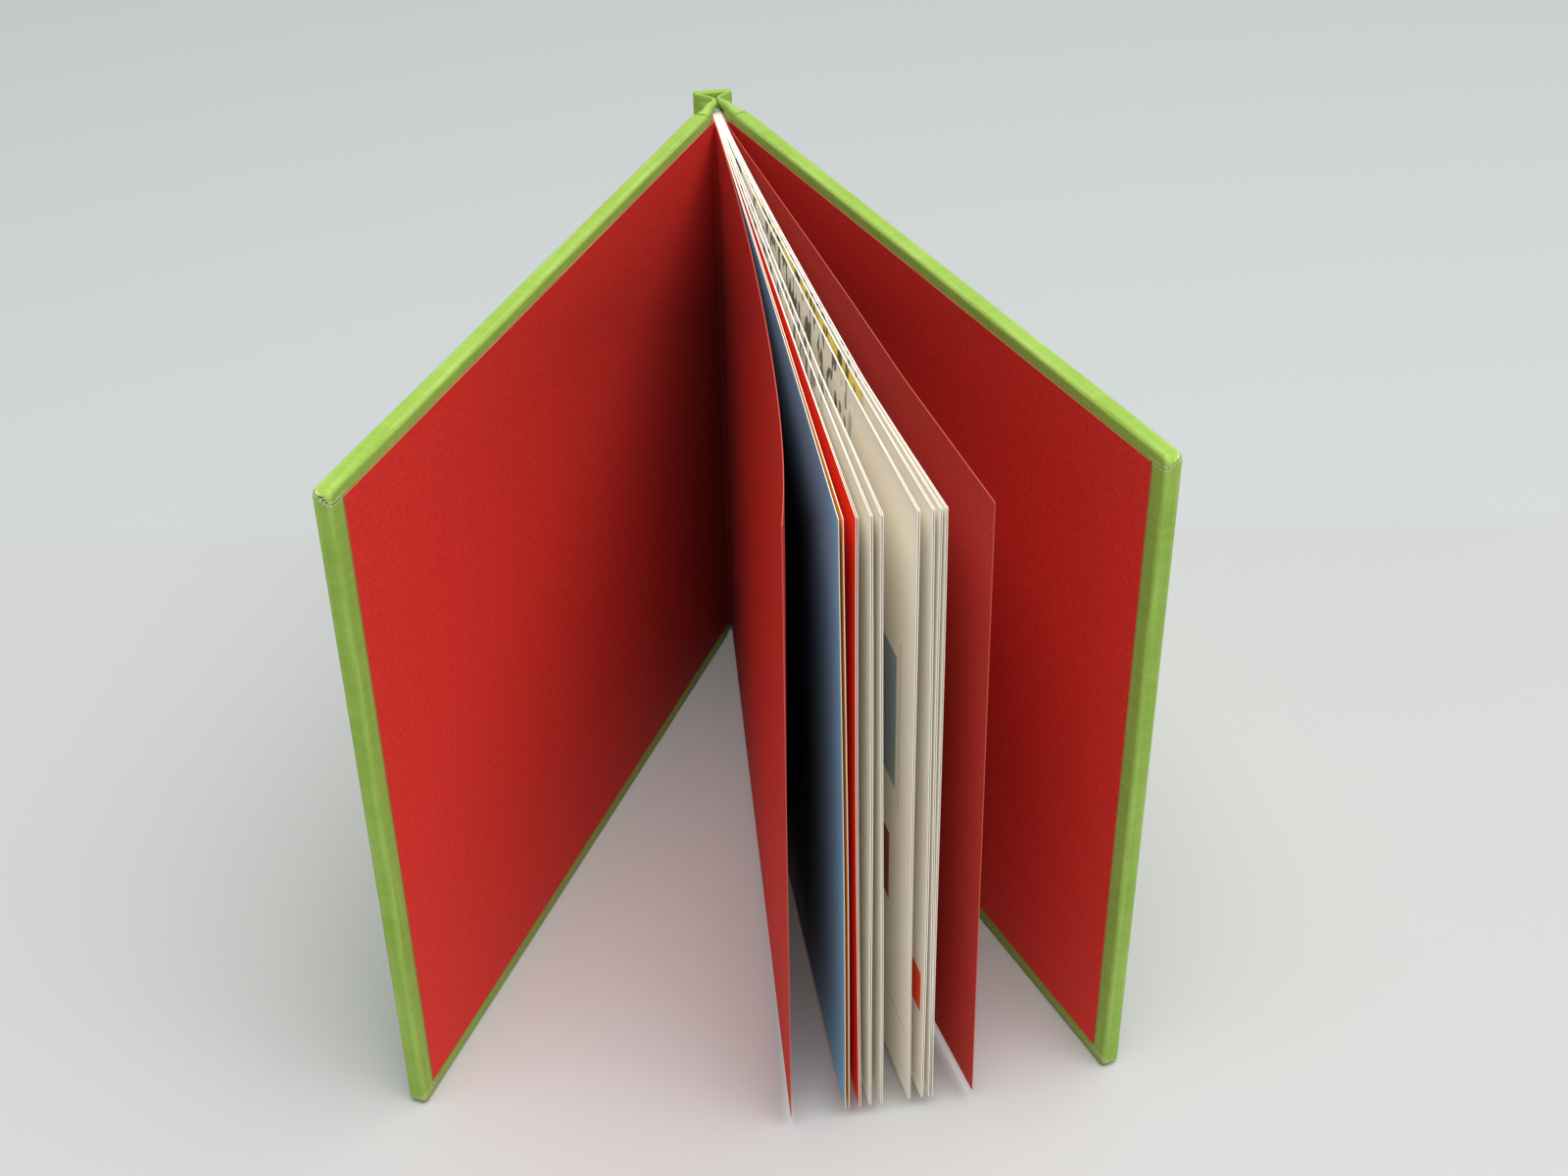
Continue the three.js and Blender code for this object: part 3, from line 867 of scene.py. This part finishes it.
# %% Paper sheets
def sheet(name, across, up, place, thickness, made_of, flip):
    """across and up are the grid's lines; place(a, z) gives the middle and the normal."""
    count = (len(across), len(up))
    a, z = np.meshgrid(across, up, indexing="ij")
    middle, normal = place(a.ravel(), z.ravel())
    places = np.vstack((middle - normal * thickness / 2, middle + normal * thickness / 2))
    total = count[0] * count[1]

    def number(i, j, layer):
        return layer * total + i * count[1] + j

    faces = []
    for i in range(count[0] - 1):
        for j in range(count[1] - 1):
            quad = [(i, j), (i + 1, j), (i + 1, j + 1), (i, j + 1)]
            faces.append(tuple(number(*at, 1) for at in quad))
            faces.append(tuple(number(*at, 0) for at in reversed(quad)))
    edge = [(i, 0) for i in range(count[0] - 1)]
    edge += [(count[0] - 1, j) for j in range(count[1] - 1)]
    edge += [(i, count[1] - 1) for i in range(count[0] - 1, 0, -1)]
    edge += [(0, j) for j in range(count[1] - 1, 0, -1)]
    for here, there in zip(edge, edge[1:] + edge[:1]):
        faces.append((number(*here, 0), number(*there, 0), number(*there, 1), number(*here, 1)))
    if flip:
        faces = [tuple(reversed(face)) for face in faces]
    flat = np.column_stack((a.ravel(), z.ravel()))
    uv = [tuple(flat[i % total]) for face in faces for i in face]
    rim = np.zeros(count)
    rim[-1, :] = rim[:, 0] = rim[:, -1] = 1.0
    numbers = {"cut_edge": np.concatenate((rim.ravel(), rim.ravel()))}
    return settle(piece(name, places, faces, made_of, "sheet", uv, numbers), 40.0)


def eased(value):
    value = np.clip(value, 0, 1)
    return value * value * (3 - 2 * value)


def edged(start, end, count, near=0.25):
    """Even grid lines with two more close to each end, for the cut edge."""
    first = [start, start + near, start + 3 * near]
    last = [end - 3 * near, end - near, end]
    return np.concatenate((first, np.linspace(start + 2, end - 2, count), last))


def pastedown(side):
    def place(u, z):
        """The sheet sinks by 0.1 mm over 6 mm where no turn-in lies under it."""
        ramp = 6
        inside = eased((u - 2.2) / ramp) * eased((COVER_END - TURN_IN - u) / ramp)
        inside = inside * eased((z - TURN_IN) / ramp)
        inside = inside * eased((COVER_HEIGHT - TURN_IN - z) / ramp)
        fold = eased((0.3 - u) / 0.5)
        level = 0.08 + 0.1 * inside - 0.2 * fold
        # The back cover's sheet is cut a little short at its head corner.
        corner = (u > 155.5) & (z > 130.2) & (side > 0)
        u, z = np.where(corner, u - 0.5, u), np.where(corner, z - 0.1, z)
        turned = on_cover(side, np.column_stack((u, level, z)))
        outward = on_cover(side, [(0, 1, 0)])[0] - on_cover(side, [(0, 0, 0)])[0]
        return turned, np.tile(outward, (len(u), 1))

    across = np.unique(np.concatenate(((-0.2, 0.05, 0.3), edged(0.55, 155.62, 60))))
    up = edged(3.4, 130.92, 48)
    name = f"{SIDE_NAME[side]}_pasted_sheet"
    return sheet(name, across, up, place, ENDPAPER, pasted_red, side > 0)


for side in (-1, 1):
    made = pastedown(side)
    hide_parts(f"{SIDE_NAME[side]}_pastedown")
    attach(made, f"{SIDE_NAME[side]}_cover")

# %% [markdown]
# Free leaves follow simple rules: share is how far along its free length a point lies, and
# each leaf has its own line. Every second gap between leaves is wider, so they stand in
# pairs. The first leaf stands a little further out, so that the page behind it shows. The
# front flyleaf hangs straight at its foot and bows at its head, where the last tenth curls
# back. The back flyleaf bulges away from the leaves.

# %% Fan rules and flyleaves
LEAF = 0.13
FAN_LEFT, FAN_POWER, FAN_LEAN = 5.0, 1.2, 1.4
PAIR_GAP, PAIR_PARTING = 0.18, 0.72
FAN_GAPS = [1.62, 1.77, 1.4, 4.9, 2.05, 0.72, 0.2]
LEAF_COUNT = 16
gap_before = [sum(FAN_GAPS[: index // 2]) for index in range(LEAF_COUNT)]
FIRST_LEAF_OUT = 0.4
gap_before[0] = -FIRST_LEAF_OUT
pairs_before = [(index + 1) // 2 for index in range(LEAF_COUNT)]


def leaf_side(index, share):
    """Where the left face of a leaf stands, before the fan leans."""
    parted = np.clip((share - PAIR_PARTING) / (1 - PAIR_PARTING), 0, 1)
    fan = gap_before[index] * share**FAN_POWER + pairs_before[index] * PAIR_GAP * parted**FAN_POWER
    return -LEAF_COUNT * LEAF / 2 - FAN_LEFT * share + index * LEAF + fan


FOOT_SWING, HEAD_SWING, HEAD_BOW, HEAD_CURL = 14.6, 5.0, 7.5, 2.1
BACK_BULGE, HEAD_BULGE = 7.2, 0.5


def flyleaf(side):
    def middle(along, z):
        """How far right of the book's middle plane the sheet stands at a place on it."""
        share = np.clip(along, 0, None) / FREE_LENGTH
        height = (z - LEAF_FOOT) / (LEAF_HEAD - LEAF_FOOT)
        if side < 0:
            foot = FOOT_SWING * share
            head = HEAD_SWING * share + HEAD_BOW * share**2 + HEAD_CURL * share**8
            return -1.18 - foot - (head - foot) * eased(height * 1.15 - 0.05)
        bulge = BACK_BULGE * share * (1.4 - 0.4 * share)
        bulge = bulge + HEAD_BULGE * np.sin(math.pi * share) * height
        last = leaf_side(LEAF_COUNT - 1, share) + LEAF + 0.14
        return last + bulge + FAN_LEAN * share**2 * (0.5 - height)

    def place(along, z):
        x = middle(along, z)
        slope = (middle(along + 0.5, z) - middle(along - 0.5, z)) * np.where(along > 0.5, 1, 0)
        length = np.hypot(1, slope)
        normal = side * np.column_stack((1 / length, slope / length, np.zeros(len(x))))
        return np.column_stack((x, HINGE_Y - along, z)), normal

    across = edged(-BOUND_LENGTH, FREE_LENGTH, 60)
    up = edged(LEAF_FOOT, LEAF_HEAD, 22)
    # The back flyleaf takes the copy with painted shade.
    made_of = shaded_red if side > 0 else free_red
    name = f"{SIDE_NAME[side]}_free_sheet"
    return sheet(name, across, up, place, ENDPAPER, made_of, side > 0)


for side in (-1, 1):
    made = flyleaf(side)
    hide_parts(f"{SIDE_NAME[side]}_flyleaf")
    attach(made, "leaves_and_spine")

# %% [markdown]
# The sixteen leaves follow one rule, so Geometry Nodes make them: one thin box with a grid
# on it is placed once for each leaf, and then every point moves sideways by the fan's rule.
# Each leaf's own share of the gaps is read from a small mesh of sixteen points.

# %% Points that carry each leaf's gaps
carrier = bpy.data.meshes.new("leaves")
carrier.from_pydata([(0, 0, 0)] * LEAF_COUNT, [], [])
for label, values in (
    ("leaf", range(LEAF_COUNT)),
    ("gap_before", [MM * gap for gap in gap_before]),
    ("pairs_before", pairs_before),
):
    attribute = carrier.attributes.new(label, "FLOAT", "POINT")
    attribute.data.foreach_set("value", [float(value) for value in values])
leaves = bpy.data.objects.new("fanned_leaves", carrier)
bpy.context.collection.objects.link(leaves)
print("leaves:", LEAF_COUNT)

# %% [markdown]
# The tree stores on the box how far along and how high each point lies, and which way each
# face looks, while the box is still straight. After the copies are made real, every point
# moves sideways by the sum of six terms: its leaf's own place, the whole fan's swing to the
# left, the gaps before it, the parting of its pair, a lean from foot to head and a ripple.

# %% Geometry tree for the leaves
LEAF_FILL = 0.94
WAVINESS = 0.16
WAVE_UP, WAVE_STEP = 4.2, 2.4
fan = bpy.data.node_groups.new("fan_of_leaves", "GeometryNodeTree")
fan.interface.new_socket("Geometry", in_out="INPUT", socket_type="NodeSocketGeometry")
sizes = {
    "Leaf Thickness": LEAF * MM * LEAF_FILL,
    "Leaf Spacing": LEAF * MM,
    "Fan Left": FAN_LEFT * MM,
    "Fan Power": FAN_POWER,
    "Fan Lean": FAN_LEAN * MM,
    "Pair Gap": PAIR_GAP * MM,
    "Pair Parting": PAIR_PARTING,
    "Waviness": WAVINESS * MM,
}
size_sockets = {
    name: fan.interface.new_socket(name, in_out="INPUT", socket_type="NodeSocketFloat")
    for name in sizes
}
fan.interface.new_socket("Geometry", in_out="OUTPUT", socket_type="NodeSocketGeometry")
enter = add(fan, "NodeGroupInput").outputs
leave = add(fan, "NodeGroupOutput").inputs


def store(geometry, name, domain, value):
    node = add(fan, "GeometryNodeStoreNamedAttribute", data_type="FLOAT", domain=domain)
    node.inputs["Name"].default_value = name
    feed(fan, node.inputs["Geometry"], geometry)
    feed(fan, node.inputs["Value"], value)
    return node.outputs["Geometry"]


def named(name):
    node = add(fan, "GeometryNodeInputNamedAttribute", data_type="FLOAT")
    node.inputs["Name"].default_value = name
    return node.outputs["Attribute"]


box = add(fan, "GeometryNodeMeshCube")
size = add(fan, "ShaderNodeCombineXYZ")
feed(fan, size.inputs[0], enter["Leaf Thickness"])
size.inputs[1].default_value = MM * (FREE_LENGTH + BOUND_LENGTH)
size.inputs[2].default_value = MM * (LEAF_HEAD - LEAF_FOOT)
feed(fan, box.inputs["Size"], size.outputs[0])
for name, count in (("Vertices X", 2), ("Vertices Y", 49), ("Vertices Z", 13)):
    box.inputs[name].default_value = count
moved = add(fan, "GeometryNodeTransform")
feed(fan, moved.inputs["Geometry"], box.outputs["Mesh"])
moved.inputs["Translation"].default_value = (
    0,
    MM * (HINGE_Y + (BOUND_LENGTH - FREE_LENGTH) / 2),
    MM * (LEAF_FOOT + LEAF_HEAD) / 2,
)
position = add(fan, "ShaderNodeSeparateXYZ")
feed(fan, position.inputs[0], add(fan, "GeometryNodeInputPosition").outputs[0])
facing = add(fan, "ShaderNodeSeparateXYZ")
feed(fan, facing.inputs[0], add(fan, "GeometryNodeInputNormal").outputs[0])
along = calc(fan, "SUBTRACT", MM * HINGE_Y, position.outputs["Y"])
height = calc(fan, "SUBTRACT", position.outputs["Z"], MM * LEAF_FOOT)
blank = store(moved.outputs["Geometry"], "page_side", "FACE", facing.outputs["X"])
blank = store(store(blank, "along", "POINT", along), "height", "POINT", height)
placing = add(fan, "GeometryNodeInstanceOnPoints")
feed(fan, placing.inputs["Points"], enter["Geometry"])
feed(fan, placing.inputs["Instance"], blank)
real = add(fan, "GeometryNodeRealizeInstances")
feed(fan, real.inputs["Geometry"], placing.outputs["Instances"])
share = calc(fan, "DIVIDE", calc(fan, "MAXIMUM", named("along"), 0.0), MM * FREE_LENGTH)
opened = calc(fan, "POWER", share, enter["Fan Power"])
past = calc(fan, "SUBTRACT", share, enter["Pair Parting"])
parted = calc(fan, "DIVIDE", past, calc(fan, "SUBTRACT", 1.0, enter["Pair Parting"]))
parted = calc(fan, "POWER", calc(fan, "MAXIMUM", parted, 0.0), enter["Fan Power"])
from_middle = calc(fan, "SUBTRACT", named("leaf"), (LEAF_COUNT - 1) / 2)
sideways = calc(fan, "MULTIPLY", from_middle, enter["Leaf Spacing"])
terms = [
    calc(fan, "MULTIPLY", calc(fan, "MULTIPLY", share, enter["Fan Left"]), -1.0),
    calc(fan, "MULTIPLY", named("gap_before"), opened),
    calc(fan, "MULTIPLY", calc(fan, "MULTIPLY", named("pairs_before"), enter["Pair Gap"]), parted),
]
upright = calc(fan, "DIVIDE", named("height"), MM * (LEAF_HEAD - LEAF_FOOT))
lean = calc(fan, "MULTIPLY", calc(fan, "SUBTRACT", 0.5, upright), enter["Fan Lean"])
terms.append(calc(fan, "MULTIPLY", lean, calc(fan, "POWER", share, 2.0)))
pair = calc(fan, "FLOOR", calc(fan, "DIVIDE", named("leaf"), 2.0))
turned = calc(fan, "MULTIPLY", pair, WAVE_STEP)
ripple = calc(fan, "SINE", calc(fan, "MULTIPLY_ADD", upright, WAVE_UP, turned))
terms.append(calc(fan, "MULTIPLY", calc(fan, "MULTIPLY", ripple, enter["Waviness"]), opened))
for term in terms:
    sideways = calc(fan, "ADD", sideways, term)
offset = add(fan, "ShaderNodeCombineXYZ")
feed(fan, offset.inputs[0], sideways)
fanned = add(fan, "GeometryNodeSetPosition")
feed(fan, fanned.inputs["Geometry"], real.outputs["Geometry"])
feed(fan, fanned.inputs["Offset"], offset.outputs[0])
dressed = add(fan, "GeometryNodeSetMaterial")
dressed.inputs["Material"].default_value = page
feed(fan, dressed.inputs["Geometry"], fanned.outputs["Geometry"])
feed(fan, leave["Geometry"], dressed.outputs["Geometry"])
modifier = leaves.modifiers.new("fan", "NODES")
modifier.node_group = fan
for name, value in sizes.items():
    modifier[size_sockets[name].identifier] = value
settle(leaves, 40.0)
leaves.data.materials.clear()
leaves.data.materials.append(page)
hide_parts("text_block")
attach(leaves, "leaves_and_spine")

# %% [markdown]
# The floor takes a soft shadow. Its colour is a pale warm grey, and turns cooler past a
# line behind the book. The light is one broad lamp overhead and an even pale sky.

# %% Floor, sky and lamp
HORIZON_TILT, HORIZON_NEAR, HORIZON_FAR = 0.176, 0.030, 0.040
FLOOR_REACH, FLOOR_DROP = 4, 0.0001
floor_paint, tree, shader = material("pale_floor")
surface = add(tree, "ShaderNodeTexCoord").outputs["Object"]
parts = add(tree, "ShaderNodeSeparateXYZ")
feed(tree, parts.inputs[0], surface)
backward = calc(tree, "MULTIPLY_ADD", parts.outputs["X"], HORIZON_TILT, parts.outputs["Y"])
back = between(tree, backward, HORIZON_NEAR, HORIZON_FAR)
haze = noise(tree, surface, 3.0)
near_colour = tint(tree, haze, srgb(186, 187, 187), srgb(191, 192, 192))
feed(tree, shader.inputs["Base Color"], tint(tree, back, near_colour, srgb(188, 192, 194)))
shader.inputs["Roughness"].default_value = 0.5
shader.inputs["Specular IOR Level"].default_value = 0.4
floor = bpy.data.objects.new("floor", bpy.data.meshes.new("floor"))
floor_corners = [
    (across * FLOOR_REACH, deep * FLOOR_REACH, -FLOOR_DROP)
    for across, deep in ((-1, -1), (1, -1), (1, 1), (-1, 1))
]
floor.data.from_pydata(floor_corners, [], [(0, 1, 2, 3)])
floor.data.materials.append(floor_paint)
bpy.context.collection.objects.link(floor)

world = bpy.data.worlds.new("sky")
bpy.context.scene.world = world
world.use_nodes = True
world.node_tree.nodes.clear()
sky = add(world.node_tree, "ShaderNodeBackground")
sky.inputs["Color"].default_value = (0.93, 0.97, 1.0, 1.0)
sky.inputs["Strength"].default_value = 0.27
output = add(world.node_tree, "ShaderNodeOutputWorld")
world.node_tree.links.new(sky.outputs[0], output.inputs["Surface"])

lamp = bpy.data.objects.new("overhead_lamp", bpy.data.lights.new("overhead_lamp", "AREA"))
lamp.data.shape = "RECTANGLE"
lamp.data.size, lamp.data.size_y = 2.6, 2.2
lamp.data.energy = 86.0
lamp.data.color = (1.0, 0.99, 0.97)
lamp_place = Vector((0.25, -0.7, 2.2))
aimed = lamp_place.to_track_quat("Z", "Y").to_matrix().to_4x4()
lamp.matrix_world = Matrix.Translation(lamp_place) @ aimed
bpy.context.collection.objects.link(lamp)
print("lamp", lamp.data.energy, "W, sky", sky.inputs["Strength"].default_value)
